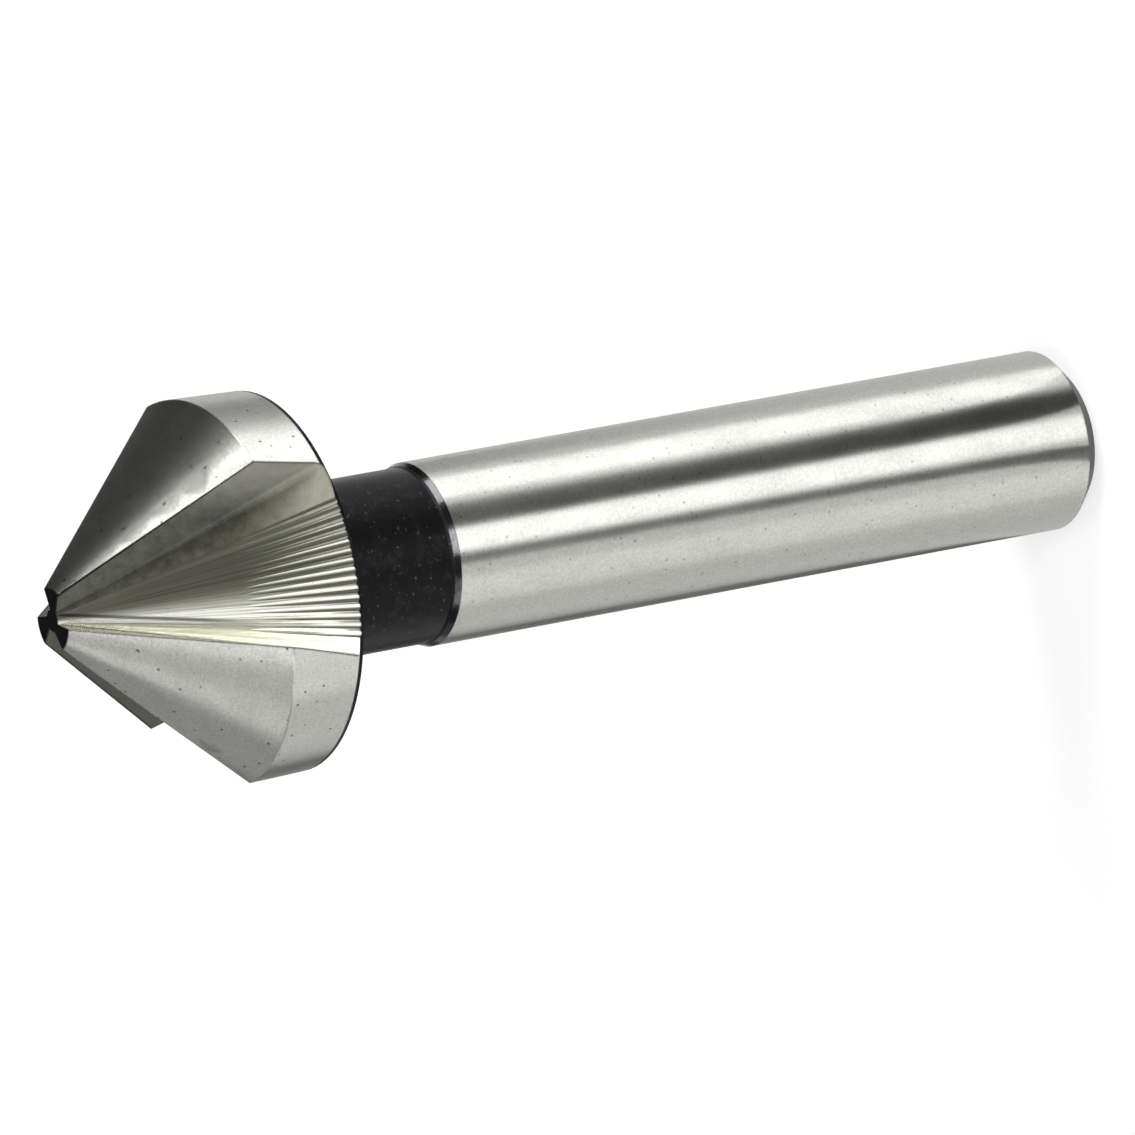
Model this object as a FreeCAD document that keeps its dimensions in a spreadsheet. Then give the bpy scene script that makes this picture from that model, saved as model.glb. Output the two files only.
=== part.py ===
"""Three-flute 90 degree countersink bit with a plain shank, turned and ground from one bar.

The bit stands on its shank end: the origin is the centre of that end, and +Z points to the tip.
Depths in the head are measured down from the apex, the point where its cone would come to a tip.
Azimuths are measured from the first cutting edge, with its flute on the positive side.
"""
import FreeCAD, Part
import math
import os

import Sketcher

NODE = "countersink_bit"

# Driving dimensions in millimetres, degrees and counts.
DIMENSIONS = {
    "OverallLength": 63.0,
    "HeadDiameter": 20.82,
    "HeadBackDiameter": 20.5,
    "TipDiameter": 3.5,
    "PointAngle": 90.0,
    "MarginLength": 4.29,
    "NeckDiameter": 9.55,
    "NeckFillet": 0.8,
    "ShankDiameter": 10.0,
    "ShankLength": 41.0,
    "ShoulderLength": 0.45,
    "EndChamfer": 1.0,
    "ToothCount": 3,
    "LandAngle": 62.8,
    "TipLandAngle": 46.0,
    "ReliefAngle": 1.3,
    "UndercutAngle": 6.8,
    "FloorAngle": 37.2,
    "FloorTipRadius": 0.6,
    "HeelFlatAngle": 10.0,
    "HeelLeanAngle": 3.8,
    "HeelCornerRadius": 0.5,
    "PassCount": 16,
    "PassStepAngle": 2.7,
    "PassRadius": 0.5,
    "PassDepth": 0.06,
    "PassLength": 5.0,
    "CutterOverrun": 1.0,
}

# Lengths and angles that follow from the driving dimensions, as expressions on the sheet.
HALF_POINT = "(Dimensions.PointAngle * 1 deg / 2)"
FLOOR_SLOPE = "tan(Dimensions.FloorAngle * 1 deg)"
TIP_DEPTH = f"(Dimensions.TipDiameter / 2 / tan({HALF_POINT}))"
RIM_DEPTH = f"(Dimensions.HeadDiameter / 2 / tan({HALF_POINT}) + Dimensions.MarginLength)"
APEX_HEIGHT = f"(Dimensions.OverallLength + {TIP_DEPTH})"
CUTTER_DEPTH = f"({RIM_DEPTH} + Dimensions.CutterOverrun)"
HEEL_AZIMUTH = "(360 / Dimensions.ToothCount - Dimensions.LandAngle)"
TIP_HEEL_AZIMUTH = "(360 / Dimensions.ToothCount - Dimensions.TipLandAngle)"
ROOT_AZIMUTH = f"({HEEL_AZIMUTH} - Dimensions.HeelLeanAngle)"
FLOOR_SWEEP = "((Dimensions.PassCount - 1) * Dimensions.PassStepAngle)"
FLAT_DIRECTION = f"({FLOOR_SWEEP} + Dimensions.HeelFlatAngle + 90)"

ORIGIN = (-1, 1)
HORIZONTAL_AXIS, VERTICAL_AXIS = -1, -2


def add_sheet(doc):
    """Put every driving dimension in a named cell of the sheet."""
    sheet = doc.addObject("Spreadsheet::Sheet", "Dimensions")
    for row, (alias, value) in enumerate(DIMENSIONS.items(), start=1):
        sheet.set(f"A{row}", alias)
        sheet.set(f"B{row}", str(value))
        sheet.setAlias(f"B{row}", alias)
    doc.recompute()


def size(item, expression):
    """Return the value of an expression on the sheet as a plain number."""
    return float(item.evalExpression(expression))


def origin_feature(body, role):
    """Return the body's own origin plane or axis with this role."""
    return next(item for item in body.Origin.OriginFeatures if item.Role == role)


def add_sketch(body, name, role):
    """Attach a new sketch flat to one of the body's origin planes."""
    sketch = body.newObject("Sketcher::SketchObject", name)
    sketch.AttachmentSupport = [(origin_feature(body, role), "")]
    sketch.MapMode = "FlatFace"
    return sketch


def start(geometry):
    """Name the start point of a line or arc as a sketch constraint does."""
    return geometry, 1


def end(geometry):
    """Name the end point of a line or arc as a sketch constraint does."""
    return geometry, 2


def centre(geometry):
    """Name the centre of an arc or circle as a sketch constraint does."""
    return geometry, 3


def relate(sketch, kind, *where):
    """Add a constraint that has no size, such as Tangent."""
    sketch.addConstraint(Sketcher.Constraint(kind, *where))


def bind(sketch, name, expression, kind, *where):
    """Add a dimension to the sketch and tie it to an expression on the sheet."""
    value = size(sketch, expression)
    if kind == "Angle":
        value = math.radians(value)
    index = sketch.addConstraint(Sketcher.Constraint(kind, *where, value))
    sketch.renameConstraint(index, name)
    sketch.setExpression(f"Constraints.{name}", expression)


def join(sketch, *segments):
    """Join each segment's end to the start of the next."""
    for segment, following in zip(segments, segments[1:]):
        relate(sketch, "Coincident", *end(segment), *start(following))


def polar(radius, azimuth):
    """Return the sketch point at this radius and azimuth in degrees."""
    angle = math.radians(azimuth)
    return FreeCAD.Vector(radius * math.cos(angle), radius * math.sin(angle), 0)


def line(sketch, from_point, to_point, construction=False):
    """Add a straight line between two points of the sketch."""
    from_point, to_point = (FreeCAD.Vector(point[0], point[1], 0) for point in (from_point, to_point))
    return sketch.addGeometry(Part.LineSegment(from_point, to_point), construction)


def arc(sketch, middle, from_point, to_point):
    """Add an arc about its middle, counter-clockwise from one point to another."""
    first, last = from_point - middle, to_point - middle
    circle = Part.Circle(middle, FreeCAD.Vector(0, 0, 1), first.Length)
    angles = (math.atan2(first.y, first.x), math.atan2(last.y, last.x))
    return sketch.addGeometry(Part.ArcOfCircle(circle, *angles))


def add_blank(body):
    """Turn the whole outline: shank, neck, head with its tapered margin and cone, and flat tip."""
    shank, neck, back, head, tip = (size(body, f"Dimensions.{part}Diameter / 2")
                                    for part in ("Shank", "Neck", "HeadBack", "Head", "Tip"))
    chamfer, fillet = size(body, "Dimensions.EndChamfer"), size(body, "Dimensions.NeckFillet")
    shank_top, top = size(body, "Dimensions.ShankLength"), size(body, "Dimensions.OverallLength")
    neck_bottom = shank_top + size(body, "Dimensions.ShoulderLength")
    head_back = size(body, f"{APEX_HEIGHT} - {RIM_DEPTH}")
    cone_back = head_back + size(body, "Dimensions.MarginLength")
    fillet_middle = FreeCAD.Vector(neck + fillet, head_back - fillet, 0)

    sketch = add_sketch(body, "BlankProfile", "XZ_Plane")
    end_face = line(sketch, (0, 0), (shank - chamfer, 0))
    end_chamfer = line(sketch, (shank - chamfer, 0), (shank, chamfer))
    shank_side = line(sketch, (shank, chamfer), (shank, shank_top))
    shoulder = line(sketch, (shank, shank_top), (neck, neck_bottom))
    neck_side = line(sketch, (neck, neck_bottom), (neck, fillet_middle.y))
    neck_root = arc(sketch, fillet_middle, fillet_middle + polar(fillet, 90),
                    fillet_middle + polar(fillet, 180))
    back_face = line(sketch, (fillet_middle.x, head_back), (back, head_back))
    margin = line(sketch, (back, head_back), (head, cone_back))
    cone = line(sketch, (head, cone_back), (tip, top))
    tip_face = line(sketch, (tip, top), (0, top))
    centre_line = line(sketch, (0, top), (0, 0))

    relate(sketch, "Coincident", *start(end_face), *ORIGIN)
    join(sketch, end_face, end_chamfer, shank_side, shoulder, neck_side)
    relate(sketch, "Tangent", *end(neck_side), *end(neck_root))
    relate(sketch, "Tangent", *start(neck_root), *start(back_face))
    join(sketch, back_face, margin, cone, tip_face, centre_line, end_face)
    for flat in (end_face, back_face, tip_face):
        relate(sketch, "Horizontal", flat)
    for upright in (shank_side, neck_side, centre_line):
        relate(sketch, "Vertical", upright)

    for name, kind, expression, where in (
        ("ShankRadius", "DistanceX", "Dimensions.ShankDiameter / 2", (*ORIGIN, *start(shank_side))),
        ("ChamferWidth", "DistanceX", "Dimensions.EndChamfer", (*start(end_chamfer), *end(end_chamfer))),
        ("ChamferHeight", "DistanceY", "Dimensions.EndChamfer", (*start(end_chamfer), *end(end_chamfer))),
        ("ShankTop", "DistanceY", "Dimensions.ShankLength", (*ORIGIN, *end(shank_side))),
        ("Shoulder", "DistanceY", "Dimensions.ShoulderLength", (*start(shoulder), *end(shoulder))),
        ("NeckRadius", "DistanceX", "Dimensions.NeckDiameter / 2", (*ORIGIN, *start(neck_side))),
        ("NeckFillet", "Radius", "Dimensions.NeckFillet", (neck_root,)),
        ("HeadBackRadius", "DistanceX", "Dimensions.HeadBackDiameter / 2", (*ORIGIN, *start(margin))),
        ("HeadRadius", "DistanceX", "Dimensions.HeadDiameter / 2", (*ORIGIN, *end(margin))),
        ("MarginLength", "DistanceY", "Dimensions.MarginLength", (*start(margin), *end(margin))),
        ("ConeDirection", "Angle", "90 + Dimensions.PointAngle / 2", (cone,)),
        ("TipRadius", "DistanceX", "Dimensions.TipDiameter / 2", (*ORIGIN, *end(cone))),
        ("TipHeight", "DistanceY", "Dimensions.OverallLength", (*ORIGIN, *end(cone))),
    ):
        bind(sketch, name, expression, kind, *where)

    blank = body.newObject("PartDesign::Revolution", "Blank")
    blank.Profile = sketch
    blank.ReferenceAxis = (sketch, ["V_Axis"])
    blank.setExpression("Angle", "360")


def add_relief(body):
    """Grind one land back from its cutting edge, as a cone whose axis leans towards the flute.

    The land lies at negative azimuths. The cone leans about the apex in the YZ plane, so it meets
    the blank along the cutting edge and falls away evenly towards the heel. The cut turns from
    that plane, past the land, to the middle of the flute ahead of the edge.
    """
    clear_of_head = f"2 * {RIM_DEPTH}"
    reach = size(body, clear_of_head)
    apex = FreeCAD.Vector(0, size(body, APEX_HEIGHT), 0)
    axis_direction = size(body, "Dimensions.ReliefAngle - 90")
    side_direction = size(body, "Dimensions.ReliefAngle - 90 - Dimensions.PointAngle / 2")
    side_end = apex + polar(reach, side_direction)
    level_end = apex + polar(reach, axis_direction - 90)

    sketch = add_sketch(body, "ReliefProfile", "YZ_Plane")
    cone_axis = line(sketch, apex, apex + polar(reach, axis_direction), construction=True)
    side = line(sketch, apex, side_end)
    outside = line(sketch, side_end, level_end)
    level = line(sketch, level_end, apex)
    relate(sketch, "PointOnObject", *start(side), VERTICAL_AXIS)
    relate(sketch, "Coincident", *start(cone_axis), *start(side))
    join(sketch, side, outside, level, side)
    relate(sketch, "Equal", side, level)
    relate(sketch, "Equal", side, cone_axis)
    relate(sketch, "Perpendicular", level, cone_axis)
    bind(sketch, "ApexHeight", APEX_HEIGHT, "DistanceY", *ORIGIN, *start(side))
    bind(sketch, "Reach", clear_of_head, "Distance", side)
    bind(sketch, "AxisDirection", "Dimensions.ReliefAngle - 90", "Angle", cone_axis)
    bind(sketch, "HalfPoint", "Dimensions.PointAngle / 2", "Angle", *start(side), *start(cone_axis))

    relief = body.newObject("PartDesign::Groove", "LandRelief")
    relief.Profile = sketch
    relief.ReferenceAxis = (sketch, ["Axis0"])
    relief.setExpression("Angle", f"90 + {HEEL_AZIMUTH} / 2")
    relief.Reversed = True
    return relief


def meet(point, azimuth, other, other_azimuth):
    """Return the point where two lines cross, each given by a point and its azimuth."""
    along, across = polar(1, azimuth), polar(1, other_azimuth + 90)
    return point + along * ((other - point).dot(across) / along.dot(across))


def add_flute_section(body, name, depth, heel_azimuth):
    """Draw the flute's section in the level plane at this depth below the apex.

    Going round: the undercut rake wall from the floor to the cutting edge, clear of the head, back
    in to the heel, the heel wall with its corner radius, the heel flat, and the convex floor.
    """
    edge_radius = f"({depth} * tan({HALF_POINT}))"
    clear_radius = f"(2 * {edge_radius})"
    floor_radius = f"(Dimensions.FloorTipRadius + ({depth} - {TIP_DEPTH}) * {FLOOR_SLOPE})"
    corner_radius = f"(Dimensions.HeelCornerRadius * {floor_radius} * 2 / Dimensions.HeadDiameter)"
    middle, flat_direction = FreeCAD.Vector(), size(body, FLAT_DIRECTION)

    floor_start = polar(size(body, floor_radius), -size(body, "Dimensions.UndercutAngle"))
    floor_end = polar(size(body, floor_radius), size(body, FLOOR_SWEEP))
    edge, edge_clear = (polar(size(body, radius), 0) for radius in (edge_radius, clear_radius))
    heel, heel_clear = (
        polar(size(body, radius), size(body, heel_azimuth)) for radius in (edge_radius, clear_radius))
    root = meet(floor_end, flat_direction, middle, size(body, ROOT_AZIMUTH))
    wall_direction = math.degrees(math.atan2(heel.y - root.y, heel.x - root.x))
    corner = size(body, corner_radius)
    setback = corner * math.tan(math.radians((flat_direction - wall_direction) / 2))
    corner_start, corner_end = root + polar(setback, wall_direction), root - polar(setback, flat_direction)
    corner_middle = corner_end + polar(corner, flat_direction - 90)

    sketch = add_sketch(body, name, "XY_Plane")
    sketch.AttachmentOffset = FreeCAD.Placement(FreeCAD.Vector(0, 0, 1), FreeCAD.Rotation())
    sketch.setExpression("AttachmentOffset.Base.z", f"{APEX_HEIGHT} - {depth}")
    rake = line(sketch, floor_start, edge)
    above_edge = line(sketch, edge, edge_clear)
    outside = line(sketch, edge_clear, heel_clear)
    above_heel = line(sketch, heel_clear, heel)
    wall = line(sketch, heel, corner_start)
    corner = arc(sketch, corner_middle, corner_start, corner_end)
    flat = line(sketch, corner_end, floor_end)
    floor = arc(sketch, middle, floor_start, floor_end)
    to_floor_start, to_floor_end, to_root, to_heel = spokes = [
        line(sketch, middle, point, construction=True)
        for point in (floor_start, floor_end, root, heel_clear)]

    join(sketch, rake, above_edge, outside, above_heel, wall)
    relate(sketch, "Tangent", *end(wall), *start(corner))
    relate(sketch, "Tangent", *end(corner), *start(flat))
    relate(sketch, "Coincident", *end(flat), *end(floor))
    relate(sketch, "Coincident", *start(floor), *start(rake))
    relate(sketch, "Coincident", *centre(floor), *ORIGIN)
    relate(sketch, "PointOnObject", *end(rake), HORIZONTAL_AXIS)
    relate(sketch, "Horizontal", above_edge)
    for spoke in spokes:
        relate(sketch, "Coincident", *start(spoke), *ORIGIN)
    relate(sketch, "Coincident", *end(to_floor_start), *start(floor))
    relate(sketch, "Coincident", *end(to_floor_end), *end(floor))
    relate(sketch, "Coincident", *end(to_heel), *end(outside))
    relate(sketch, "PointOnObject", *start(wall), to_heel)
    relate(sketch, "PointOnObject", *end(to_root), wall)
    relate(sketch, "PointOnObject", *end(to_root), flat)

    for name, kind, expression, where in (
        ("FloorStart", "Angle", "-Dimensions.UndercutAngle", (to_floor_start,)),
        ("FloorEnd", "Angle", FLOOR_SWEEP, (to_floor_end,)),
        ("Root", "Angle", ROOT_AZIMUTH, (to_root,)),
        ("Heel", "Angle", heel_azimuth, (to_heel,)),
        ("FlatDirection", "Angle", f"{FLAT_DIRECTION} - 180", (flat,)),
        ("FloorRadius", "Radius", floor_radius, (floor,)),
        ("CornerRadius", "Radius", corner_radius, (corner,)),
        ("EdgeRadius", "Distance", edge_radius, (*ORIGIN, *end(rake))),
        ("HeelRadius", "Distance", edge_radius, (*ORIGIN, *start(wall))),
        ("EdgeReach", "Distance", clear_radius, (*ORIGIN, *end(above_edge))),
        ("HeelReach", "Distance", clear_radius, (*ORIGIN, *end(outside))),
    ):
        bind(sketch, name, expression, kind, *where)
    return sketch


def add_flute(body):
    """Grind one flute, straight from its section above the tip to its section behind the head.

    Towards the tip the heel swings back, so the lands grow narrower there than at the rim.
    """
    above_tip = f"({TIP_DEPTH} - Dimensions.FloorTipRadius / 2 / {FLOOR_SLOPE})"
    flute = body.newObject("PartDesign::SubtractiveLoft", "Flute")
    flute.Profile = add_flute_section(body, "FluteBackSection", CUTTER_DEPTH, HEEL_AZIMUTH)
    flute.Sections = [add_flute_section(body, "FluteTipSection", above_tip, TIP_HEEL_AZIMUTH)]
    flute.Ruled = True
    return flute


def add_floor_pass(body):
    """Cut the first wheel pass on the flute floor: a shallow round groove that runs out to nothing.

    The groove lies along the floor line at azimuth 0. It is deepest at the rim, and its cylinder
    leans away from the floor towards the tip.
    """
    floor_cosine = "cos(Dimensions.FloorAngle * 1 deg)"
    floor_radius = f"(Dimensions.FloorTipRadius + ({CUTTER_DEPTH} - {TIP_DEPTH}) * {FLOOR_SLOPE})"
    lean = f"atan(Dimensions.PassDepth * {floor_cosine} / Dimensions.PassLength)"
    depth = "Dimensions.PassDepth * (1 + Dimensions.CutterOverrun / Dimensions.PassLength)"
    radius = size(body, "Dimensions.PassRadius")

    sketch = add_sketch(body, "PassProfile", "XY_Plane")
    leaning = FreeCAD.Rotation(FreeCAD.Vector(0, 1, 0), 90)
    sketch.AttachmentOffset = FreeCAD.Placement(FreeCAD.Vector(1, 0, 1), leaning)
    sketch.setExpression("AttachmentOffset.Base.x", floor_radius)
    sketch.setExpression("AttachmentOffset.Base.z", f"{APEX_HEIGHT} - {CUTTER_DEPTH}")
    sketch.setExpression(
        "AttachmentOffset.Rotation.Angle", f"180 deg - Dimensions.FloorAngle * 1 deg + {lean}")
    wheel = sketch.addGeometry(
        Part.Circle(FreeCAD.Vector(-radius, 0, 0), FreeCAD.Vector(0, 0, 1), radius))
    relate(sketch, "PointOnObject", *centre(wheel), HORIZONTAL_AXIS)
    bind(sketch, "WheelRadius", "Dimensions.PassRadius", "Radius", wheel)
    bind(sketch, "WheelOffset", f"Dimensions.PassRadius - {depth}", "DistanceX", *centre(wheel), *ORIGIN)

    groove = body.newObject("PartDesign::Pocket", "FloorPass")
    groove.Profile = sketch
    groove.setExpression(
        "Length", f"(Dimensions.PassLength + Dimensions.CutterOverrun) / {floor_cosine}")
    return groove


def polar_pattern(body, name, count, sweep):
    """Make a pattern about the Z axis: count copies spread over the sweep in degrees."""
    pattern = body.newObject("PartDesign::PolarPattern", name)
    pattern.Axis = (origin_feature(body, "Z_Axis"), [""])
    pattern.setExpression("Occurrences", count)
    pattern.setExpression("Angle", sweep)
    return pattern


def repeat_per_tooth(body, cut, name):
    """Repeat one cut for every tooth of the head."""
    pattern = polar_pattern(body, name, "Dimensions.ToothCount", "360")
    pattern.Originals = [cut]
    body.Tip = pattern


def repeat_across_floors(body, cut, name):
    """Step the wheel pass across the flute floor, and repeat the row for every tooth."""
    rows = body.newObject("PartDesign::MultiTransform", name)
    rows.Originals = [cut]
    rows.Refine = False
    across_floor = polar_pattern(body, "PassRow", "Dimensions.PassCount", FLOOR_SWEEP)
    around_head = polar_pattern(body, "PassRows", "Dimensions.ToothCount", "360")
    rows.Transformations = [across_floor, around_head]
    body.Tip = rows


def add_cuts(body, add_cut, repeat, name):
    """Add one cut and its copies, and make sure that both took metal away."""
    before = body.Shape.Volume
    cut = add_cut(body)
    body.Document.recompute()
    after_one = body.Shape.Volume
    repeat(body, cut, name)
    body.Document.recompute()
    if not body.Shape.Volume < after_one < before:
        raise ValueError(f"{name} remove nothing")


def check(doc, body):
    """Stop if any object failed to recompute, or if the bit isn't one sound solid."""
    failed = [item.Name for item in doc.Objects if {"Invalid", "Error"} & set(item.State)]
    if failed:
        raise ValueError(f"failed objects: {failed}")
    if body.Shape.isNull() or not body.Shape.isValid() or len(body.Shape.Solids) != 1:
        raise ValueError(f"{body.Label} isn't one valid solid")


def main():
    """Build the bit and write it to its STEP file."""
    doc = FreeCAD.newDocument("CountersinkBit")
    add_sheet(doc)
    body = doc.addObject("PartDesign::Body", "Bit")
    body.Label = NODE
    add_blank(body)
    doc.recompute()
    add_cuts(body, add_relief, repeat_per_tooth, "LandReliefs")
    add_cuts(body, add_flute, repeat_per_tooth, "Flutes")
    add_cuts(body, add_floor_pass, repeat_across_floors, "FloorPasses")
    check(doc, body)
    os.makedirs("parts", exist_ok=True)
    body.Shape.exportStep(f"parts/{body.Label}.step")


main()
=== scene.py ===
import math

import bmesh
import bpy
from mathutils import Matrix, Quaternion, Vector


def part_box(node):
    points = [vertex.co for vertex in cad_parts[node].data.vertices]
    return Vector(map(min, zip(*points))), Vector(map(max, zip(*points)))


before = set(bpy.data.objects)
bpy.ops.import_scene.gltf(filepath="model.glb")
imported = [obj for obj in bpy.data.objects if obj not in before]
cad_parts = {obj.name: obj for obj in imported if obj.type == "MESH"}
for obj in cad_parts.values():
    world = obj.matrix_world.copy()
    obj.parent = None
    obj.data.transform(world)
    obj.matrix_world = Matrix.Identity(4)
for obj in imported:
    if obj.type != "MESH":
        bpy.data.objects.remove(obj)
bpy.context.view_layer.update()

# ---------------------------------------------------------------------------------------------
# The bit: one bar of hardened tool steel. The shank and the three teeth are ground bright, the
# flutes are cut by a grinding wheel, and the neck keeps the black skin of the hardening furnace.
# It stands on its shank end, with its axis on the frame's Z axis and its point up.
# ---------------------------------------------------------------------------------------------
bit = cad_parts["countersink_bit"]


class Shade:
    """One socket of a material's nodes. Arithmetic on it adds the Math nodes that do it."""

    def __init__(self, tree, socket=None):
        self.tree = tree
        self.socket = socket

    def node(self, kind, settings=None, inputs=None, output=0):
        made = self.tree.nodes.new("ShaderNode" + kind)
        for name, value in (settings or {}).items():
            if name == "stops":
                ramp = made.color_ramp.elements
                while len(ramp) < len(value):
                    ramp.new(1.0)
                for stop, (position, colour) in zip(ramp, value):
                    stop.position = position
                    stop.color = (*colour, 1.0)
            else:
                setattr(made, name, value)
        for name, value in (inputs or {}).items():
            if isinstance(value, Shade):
                self.tree.links.new(value.socket, made.inputs[name])
            else:
                made.inputs[name].default_value = value
        return Shade(self.tree, made.outputs[output])

    def do(self, operation, *others):
        return self.node("Math", {"operation": operation}, dict(enumerate((self, *others))))

    def __add__(self, other):
        return self.do("ADD", other)

    def __sub__(self, other):
        return self.do("SUBTRACT", other)

    def __rsub__(self, other):
        return self.node("Math", {"operation": "SUBTRACT"}, {0: other, 1: self})

    def __mul__(self, other):
        return self.do("MULTIPLY", other)

    def __truediv__(self, other):
        return self.do("DIVIDE", other)

    __radd__ = __add__
    __rmul__ = __mul__

    def rise(self, low, high):
        """0 below low and 1 above high, with a smooth step between them."""
        return self.node(
            "MapRange",
            {"interpolation_type": "SMOOTHSTEP"},
            {"Value": self, "From Min": low, "From Max": high},
        )

    def fall(self, low, high):
        return 1 - self.rise(low, high)

    def tinted(self, red, green, blue):
        """The colour of one tint at this strength."""
        return self.node(
            "CombineColor", inputs={"Red": self * red, "Green": self * green, "Blue": self * blue}
        )

    def parts(self):
        split = self.node("SeparateXYZ", inputs={"Vector": self}).socket.node
        return [Shade(self.tree, socket) for socket in split.outputs]

    def scaled(self, across, around, along):
        return self.node(
            "VectorMath", {"operation": "MULTIPLY"}, {0: self, 1: (across, around, along)}
        )

    def noise(self, detail=2.0, roughness=0.5):
        return self.node(
            "TexNoise",
            inputs={"Vector": self, "Scale": 1.0, "Detail": detail, "Roughness": roughness},
        )


def mixed(one, other, factor):
    """One value where factor is 0, the other where it is 1."""
    return one * (1 - factor) + other * factor


steel = bpy.data.materials.new("ground_tool_steel")
steel.use_nodes = True
steel.node_tree.nodes.clear()
start = Shade(steel.node_tree)

place = start.node("TexCoord", output="Object").scaled(1000.0, 1000.0, 1000.0)
x, y, z = place.parts()
nx, ny, nz = start.node("TexCoord", output="Normal").parts()
radius = (x * x + y * y).do("SQRT")
turn = y.do("ARCTAN2", x) * (180.0 / math.pi)
outward = (x * nx + y * ny) / radius

APEX = 64.75            # height at which the ground cones of the teeth would meet in a point
HEAD_BACK = 50.05
SHANK_TOP = 41.0
PITCH = 120.0           # degrees from tooth to tooth

in_tooth = turn.do("FLOORED_MODULO", PITCH)
below_cone = (APEX - z) - radius
on_cone = (
    (outward + nz).rise(1.385, 1.400)
    * (below_cone - radius * 0.03).fall(0.08, 0.16)
    * in_tooth.rise(44.0, 46.0)
    * radius.rise(1.65, 1.75)
)
margin_face = outward.rise(0.960, 0.975) * radius.rise(10.0, 10.06) * z.rise(49.9, 50.0)
on_margin = margin_face * z.rise(50.24, 50.30)
# Faces turned down are left out of the ground shank, so the end chamfer takes the black of the neck:
# painted shade.
on_shank = z.fall(SHANK_TOP - 0.05, SHANK_TOP) * (nz * -1).fall(0.2, 0.3)
round_ground = on_margin.do("MAXIMUM", on_shank)
ground = on_cone.do("MAXIMUM", round_ground)
on_head = z.rise(HEAD_BACK, HEAD_BACK + 0.05) * (nz * -1).fall(0.5, 0.6)
on_tip = nz.rise(0.97, 0.99) * z.rise(62.0, 62.4)
in_flute = on_head * (1 - on_cone.do("MAXIMUM", margin_face)) * (1 - on_tip)

# Every edge of the head carries a thin dark line of painted shade. The blunt edge between cone and margin
# keeps little of it.
rounded = start.node("Bevel", {"samples": 6}, {"Radius": 0.00012})
broad = start.node("Bevel", {"samples": 6}, {"Radius": 0.00022})
flatness = start.node(
    "VectorMath", {"operation": "DOT_PRODUCT"}, {0: broad, 1: start.node("NewGeometry", output="Normal")},
    output="Value",
)
blunt_edge = z.rise(53.9, 54.1) * z.fall(54.6, 54.8) * outward.rise(0.60, 0.70) * radius.rise(9.9, 10.0)
painted_edge_shade = flatness.fall(0.90, 0.990) * (1 - blunt_edge * in_tooth.rise(61.0, 63.0) * in_tooth.fall(117.0, 118.5) * 0.85)

# Bright ground steel: fine grinding lines run round the axis, with a few specks of pitting.
round_lines = place.scaled(0.30, 0.30, 14.0).noise(3.0, 0.6)
cloud = place.scaled(0.8, 0.8, 0.35).noise(3.0, 0.55)
pits = start.node(
    "TexVoronoi", {"feature": "F1"}, {"Vector": place, "Scale": 1.35, "Randomness": 1.0}
).fall(0.07, 0.14)
grain = place.scaled(7.0, 7.0, 7.0).noise(2.0, 0.6)
bright = (
    (0.50 + (round_lines - 0.5) * 0.09 + (cloud - 0.5) * 0.16 + (grain - 0.5) * 0.30)
    * (1 - pits * mixed(0.75, 0.35, on_shank))
    # the thin dark line along the edges is painted shade
    * (1 - painted_edge_shade * 0.8)
)
ground_height = round_lines * 0.6 + (1 - pits) * 1.0
ground_bump = start.node(
    "Bump",
    inputs={"Strength": 0.03, "Distance": 0.00005, "Height": ground_height, "Normal": rounded},
)
round_steel = start.node(
    "BsdfPrincipled",
    inputs={
        "Base Color": bright.tinted(0.995, 1.0, 0.935),
        "Metallic": 1.0,
        "Roughness": 0.33 + (cloud - 0.5) * 0.12,
        "Anisotropic": 1.0,
        "Anisotropic Rotation": 0.25,
        "Normal": ground_bump,
    },
)
land_steel = start.node(
    "BsdfPrincipled",
    inputs={
        "Base Color": bright.tinted(0.995, 1.0, 0.93),
        "Metallic": 1.0,
        "Roughness": 0.22 + (cloud - 0.5) * 0.02,
        "Normal": ground_bump,
    },
)

# Flutes: duller, with the wheel's fine scratches along the flute and a brown film of burnt coolant, and
# with painted light and shade: a painted highlight by the cutting edge, painted light towards the rim,
# painted shade along the heel edge and on the rake faces of one side.
heading = ny.do("ARCTAN2", nx) * (180.0 / math.pi)
in_gap = (turn + 15.0).do("FLOORED_MODULO", PITCH) - 15.0   # a flute runs on a little under its tooth
across_flute = (heading - turn + in_gap + 60.0).do("FLOORED_MODULO", 360.0) - 60.0
on_passes = across_flute.fall(41.0, 46.0) * nz.rise(0.42, 0.50) * in_gap.fall(44.0, 46.0)
on_rake = across_flute.rise(70.0, 80.0) * nz.fall(0.20, 0.30)
wheel_lines = start.node("CombineXYZ", inputs={"X": turn * 1.1, "Y": radius * 0.08}).noise(3.0, 0.65)
film = place.scaled(1.6, 1.6, 1.6).noise(4.0, 0.6)
on_wall = across_flute.fall(0.0, 6.0) * nz.fall(0.40, 0.46)
mottle = (film - 0.5) * 0.15 + (grain - 0.5) * 0.07
# The brown film, with painted light: the flute is lighter towards the rim.
film_and_painted_shading = mixed(0.105, 0.14, on_wall) + mottle + radius.rise(6.5, 10.0) * 0.20
# Painted shade: a dark band on the wall of the flute along the heel edge, where it meets the ground cone.
film_and_painted_shading = film_and_painted_shading * (1 - on_wall * (below_cone - radius * 0.025).fall(0.14, 0.26) * 0.8)
by_edge = across_flute.fall(8.0, 22.0)
# The wheel's stripes, with a painted highlight: the floor is much lighter by the cutting edge, where the
# stripes are strongest.
wheel_marks_and_painted_highlight = mixed(0.165, 0.58, by_edge) + (wheel_lines - 0.5) * (0.3 + by_edge * 0.9)
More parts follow.
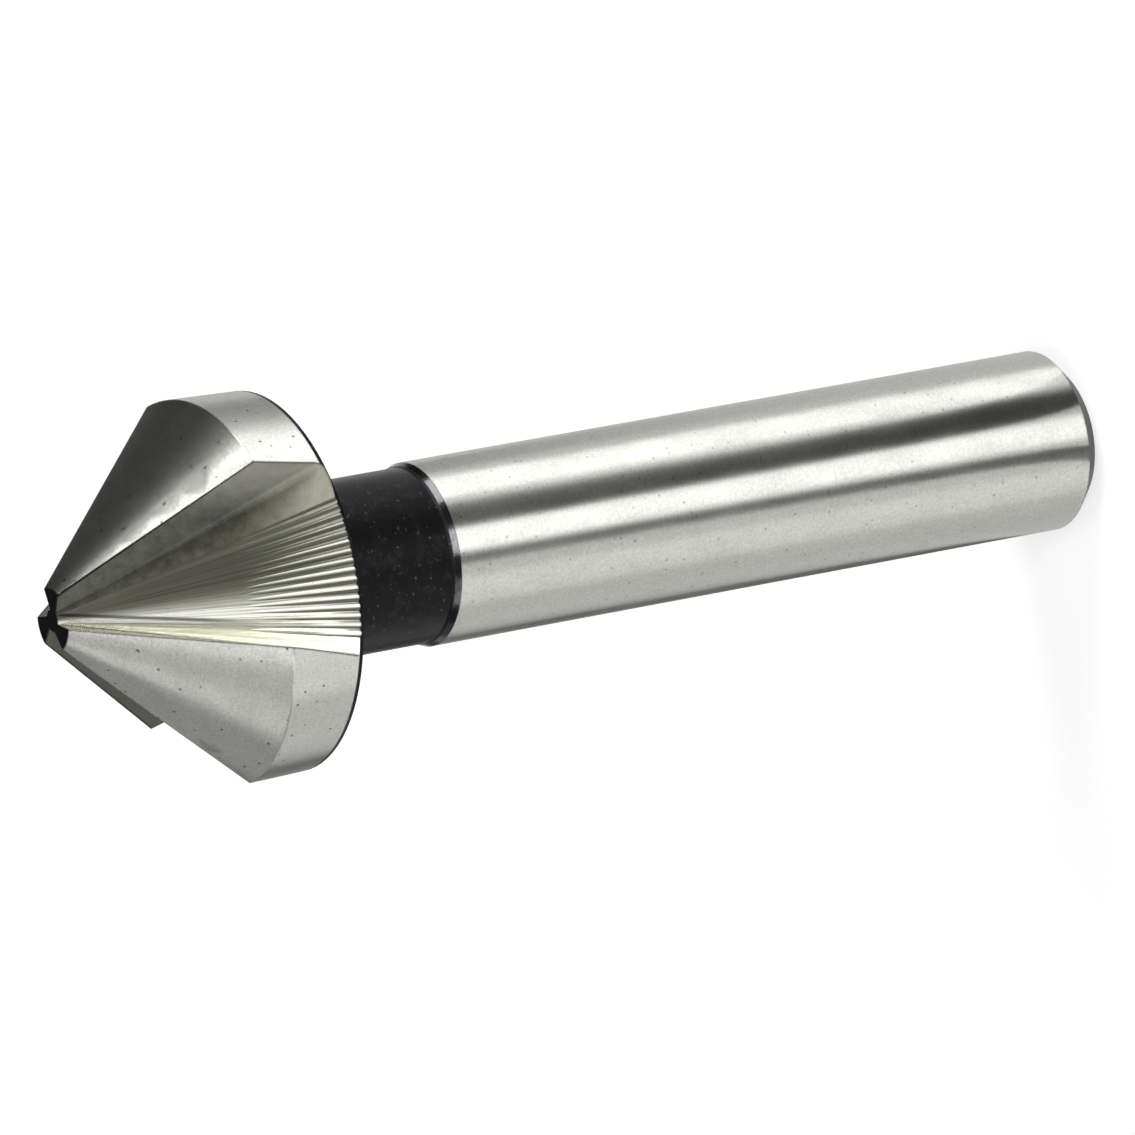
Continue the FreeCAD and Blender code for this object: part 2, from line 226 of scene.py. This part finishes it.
# A painted glint: a light line right along the cutting edge.
wheel_marks_and_painted_highlight = wheel_marks_and_painted_highlight + across_flute.fall(-2.0, 1.0) * in_gap.fall(0.0, 3.0) * 0.40
beside_edge = radius * in_gap * (math.pi / 180.0)           # millimetres from the cutting edge
streak = beside_edge.rise(0.32, 0.44) * beside_edge.fall(0.50, 0.62) * radius.fall(5.0, 7.5)
wheel_marks_and_painted_highlight = wheel_marks_and_painted_highlight * (1 - streak * 0.75)
# Painted shade: the rake faces on one side of the bit are dark and matte, the others light.
painted_shade_side = ((y * 0.866 - x * 0.5) / radius).rise(0.3, 0.8)
dull = mixed(mixed(film_and_painted_shading, wheel_marks_and_painted_highlight, on_passes), mixed(0.88, 0.16, painted_shade_side), on_rake)
# The thin dark line along the edges is painted shade here too.
dull = dull * (1 - painted_edge_shade * 0.8)
specks = place.scaled(4.5, 4.5, 4.5).noise(1.0, 0.5).rise(0.68, 0.76)
on_shoulder = z.rise(SHANK_TOP - 0.02, SHANK_TOP) * z.fall(SHANK_TOP + 0.28, SHANK_TOP + 0.34)
on_end_face = (nz * -1).rise(0.90, 0.95) * z.fall(0.5, 0.6)
# The black skin of the neck, which on the shank's end chamfer is painted shade.
black_skin_and_painted_shade = (
    0.013 + film.rise(0.50, 0.80) * 0.012 + specks * 0.05 + on_shoulder * 0.05 + on_end_face * 0.3
)
wheel_rough = mixed(0.36, 0.26, by_edge.do("MAXIMUM", on_rake))
flute_rough = mixed(0.72, wheel_rough, on_passes.do("MAXIMUM", on_rake * (1 - painted_shade_side)))
rough = mixed(0.42 - on_shoulder * 0.26, flute_rough, in_flute)
other_colour = start.node(
    "Mix",
    {"data_type": "RGBA"},
    {
        "Factor": in_flute,
        6: black_skin_and_painted_shade.tinted(0.97, 0.98, 1.03),
        7: dull.tinted(1.0, 1.0, mixed(0.82, 0.91, by_edge)),
    },
    output=2,
)
other_bump = start.node(
    "Bump",
    inputs={
        "Strength": 0.25,
        "Distance": 0.00004,
        "Height": mixed(film * 1.5, wheel_lines, in_flute),
    },
)
other_steel = start.node(
    "BsdfPrincipled",
    inputs={
        "Base Color": other_colour,
        "Metallic": 1.0,
        "Roughness": rough,
        "Normal": other_bump,
    },
)
finish = start.node("MixShader", inputs={"Fac": on_cone, 1: other_steel, 2: land_steel})
finish = start.node("MixShader", inputs={"Fac": round_ground, 1: finish, 2: round_steel})
out = steel.node_tree.nodes.new("ShaderNodeOutputMaterial")
steel.node_tree.links.new(finish.socket, out.inputs["Surface"])
bit.material_slots[0].material = steel

# ---------------------------------------------------------------------------------------------
# The floor: plain pale board under the bit. What the camera and the steel see of it is topped up
# to white, and the bit's own shadow stays on it.
# ---------------------------------------------------------------------------------------------
low, high = (Vector(corner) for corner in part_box("countersink_bit"))
middle = (low + high) / 2

FLOOR_RADIUS = 3.0


def stage_piece(name, mesh):
    """Puts a finished bmesh in the scene as an object of its own."""
    data = bpy.data.meshes.new(name)
    mesh.to_mesh(data)
    mesh.free()
    piece = bpy.data.objects.new(name, data)
    bpy.context.scene.collection.objects.link(piece)
    return piece


disc = bmesh.new()
bmesh.ops.create_circle(disc, cap_ends=True, segments=96, radius=FLOOR_RADIUS)
bmesh.ops.translate(disc, verts=disc.verts, vec=(0.0, 0.0, low.z - 0.00002))
floor = stage_piece("floor", disc)

board = bpy.data.materials.new("pale_board")
board.use_nodes = True
board.node_tree.nodes.clear()
start = Shade(board.node_tree)
path = start.node("LightPath").socket.node
seen = Shade(board.node_tree, path.outputs["Is Camera Ray"]).do(
    "MAXIMUM", Shade(board.node_tree, path.outputs["Is Glossy Ray"])
).do("MAXIMUM", Shade(board.node_tree, path.outputs["Is Transmission Ray"]))
pale = start.node("BsdfDiffuse", inputs={"Color": (0.80, 0.80, 0.80, 1.0)})
glow = start.node("Emission", inputs={"Color": (1.0, 1.0, 1.0, 1.0), "Strength": seen * 0.52})
both = start.node("AddShader", inputs={0: pale, 1: glow})
out = board.node_tree.nodes.new("ShaderNodeOutputMaterial")
board.node_tree.links.new(both.socket, out.inputs["Surface"])
floor.data.materials.append(board)

# ---------------------------------------------------------------------------------------------
# The studio: soft boxes round the bit, and a dim even room.
# ---------------------------------------------------------------------------------------------


def toward(azimuth, elevation):
    """The direction at an azimuth, anticlockwise from +X, and an elevation, both in degrees."""
    azimuth, elevation = math.radians(azimuth), math.radians(elevation)
    return Vector(
        (
            math.cos(azimuth) * math.cos(elevation),
            math.sin(azimuth) * math.cos(elevation),
            math.sin(elevation),
        )
    )


def soft_box(name, azimuth, elevation, wide, tall, brightness, distance=0.9):
    """A rectangular lamp that spans the given angles, as bright as given, where 1 is white."""
    width = 2 * distance * math.tan(math.radians(wide / 2))
    height = 2 * distance * math.tan(math.radians(tall / 2))
    lamp = bpy.data.lights.new(name, "AREA")
    lamp.shape = "RECTANGLE"
    lamp.size = width
    lamp.size_y = height
    lamp.energy = brightness * math.pi * width * height
    piece = bpy.data.objects.new(name, lamp)
    piece.location = middle + toward(azimuth, elevation) * distance
    piece.rotation_mode = "QUATERNION"
    piece.rotation_quaternion = (-toward(azimuth, elevation)).to_track_quat("-Z", "Y")
    bpy.context.scene.collection.objects.link(piece)


soft_box("front_box", -92.0, 14.0, 27.0, 26.0, 8.8)
soft_box("side_box", -23.0, 17.0, 32.0, 34.0, 7.6)
soft_box("left_box", -140.0, 44.0, 34.0, 24.0, 1.8)
soft_box("low_left_box", -154.0, 11.0, 34.0, 20.0, 2.5)
soft_box("edge_box", -14.0, 44.0, 14.0, 10.0, 4.0)
soft_box("far_box", 177.0, 46.0, 50.0, 34.0, 0.60)
soft_box("low_box", 138.0, 22.0, 50.0, 44.0, 0.30)


def card(name, azimuth, wide, shade, near=0.0053, reach=0.3):
    """A wedge of card flat on the floor beside the shank, which only the steel reflects."""
    first, last = (math.radians(azimuth + side * wide / 2) for side in (-1, 1))
    sheet = bmesh.new()
    ends = [
        sheet.verts.new((math.cos(first) * r, math.sin(first) * r, low.z + 0.0002))
        for r in (near, reach)
    ]
    edge = sheet.edges.new(ends)
    bmesh.ops.spin(
        sheet, geom=[*ends, edge], cent=(0, 0, 0), axis=(0, 0, 1), angle=last - first, steps=12
    )
    piece = stage_piece(name, sheet)
    piece.visible_camera = piece.visible_diffuse = piece.visible_shadow = False
    cloth = bpy.data.materials.new(name + "_cloth")
    cloth.use_nodes = True
    cloth.node_tree.nodes["Principled BSDF"].inputs["Base Color"].default_value = (shade, shade, shade, 1)
    cloth.node_tree.nodes["Principled BSDF"].inputs["Roughness"].default_value = 1.0
    piece.data.materials.append(cloth)


screen = bmesh.new()
ends = [screen.verts.new(toward(6.0, 0.0) * 0.28 + Vector((0, 0, h))) for h in (0.001, 0.3)]
edge = screen.edges.new(ends)
bmesh.ops.spin(
    screen, geom=[*ends, edge], cent=(0, 0, 0), axis=(0, 0, 1), angle=math.radians(66), steps=12
)
screen = stage_piece("black_screen", screen)
screen.visible_camera = screen.visible_diffuse = screen.visible_shadow = False
black = bpy.data.materials.new("black_cloth")
black.use_nodes = True
black.node_tree.nodes["Principled BSDF"].inputs["Base Color"].default_value = (0.02, 0.02, 0.02, 1)
screen.data.materials.append(black)

card("black_card", -62.5, 31.0, 0.02)
card("narrow_card", -116.0, 12.0, 0.15)
card("grey_card", 119.0, 30.0, 0.20)
card("head_card", 22.0, 30.0, 0.30, near=0.078, reach=0.12)

room = bpy.data.worlds.new("dim_room")
room.use_nodes = True
room.node_tree.nodes["Background"].inputs["Color"].default_value = (0.14, 0.14, 0.14, 1.0)
bpy.context.scene.world = room

# ---------------------------------------------------------------------------------------------
# The camera, turned on its side, so that the standing bit lies across the picture.
# ---------------------------------------------------------------------------------------------
CAMERA_AZIMUTH = -99.5
CAMERA_ELEVATION = 29.35
CAMERA_ROLL = -100.45
CAMERA_DISTANCE = 0.5927
LENS = 348.9

lens = bpy.data.cameras.new("camera")
lens.lens = LENS
lens.sensor_width = 36.0
camera = bpy.data.objects.new("camera", lens)
aim = middle + Vector((-0.00214, 0.00028, 0.00041))
camera.location = aim + toward(CAMERA_AZIMUTH, CAMERA_ELEVATION) * CAMERA_DISTANCE
camera.rotation_mode = "QUATERNION"
camera.rotation_quaternion = (-toward(CAMERA_AZIMUTH, CAMERA_ELEVATION)).to_track_quat(
    "-Z", "Y"
) @ Quaternion((0.0, 0.0, 1.0), math.radians(CAMERA_ROLL))
bpy.context.scene.collection.objects.link(camera)
bpy.context.scene.camera = camera
bpy.context.scene.view_settings.view_transform = "Standard"
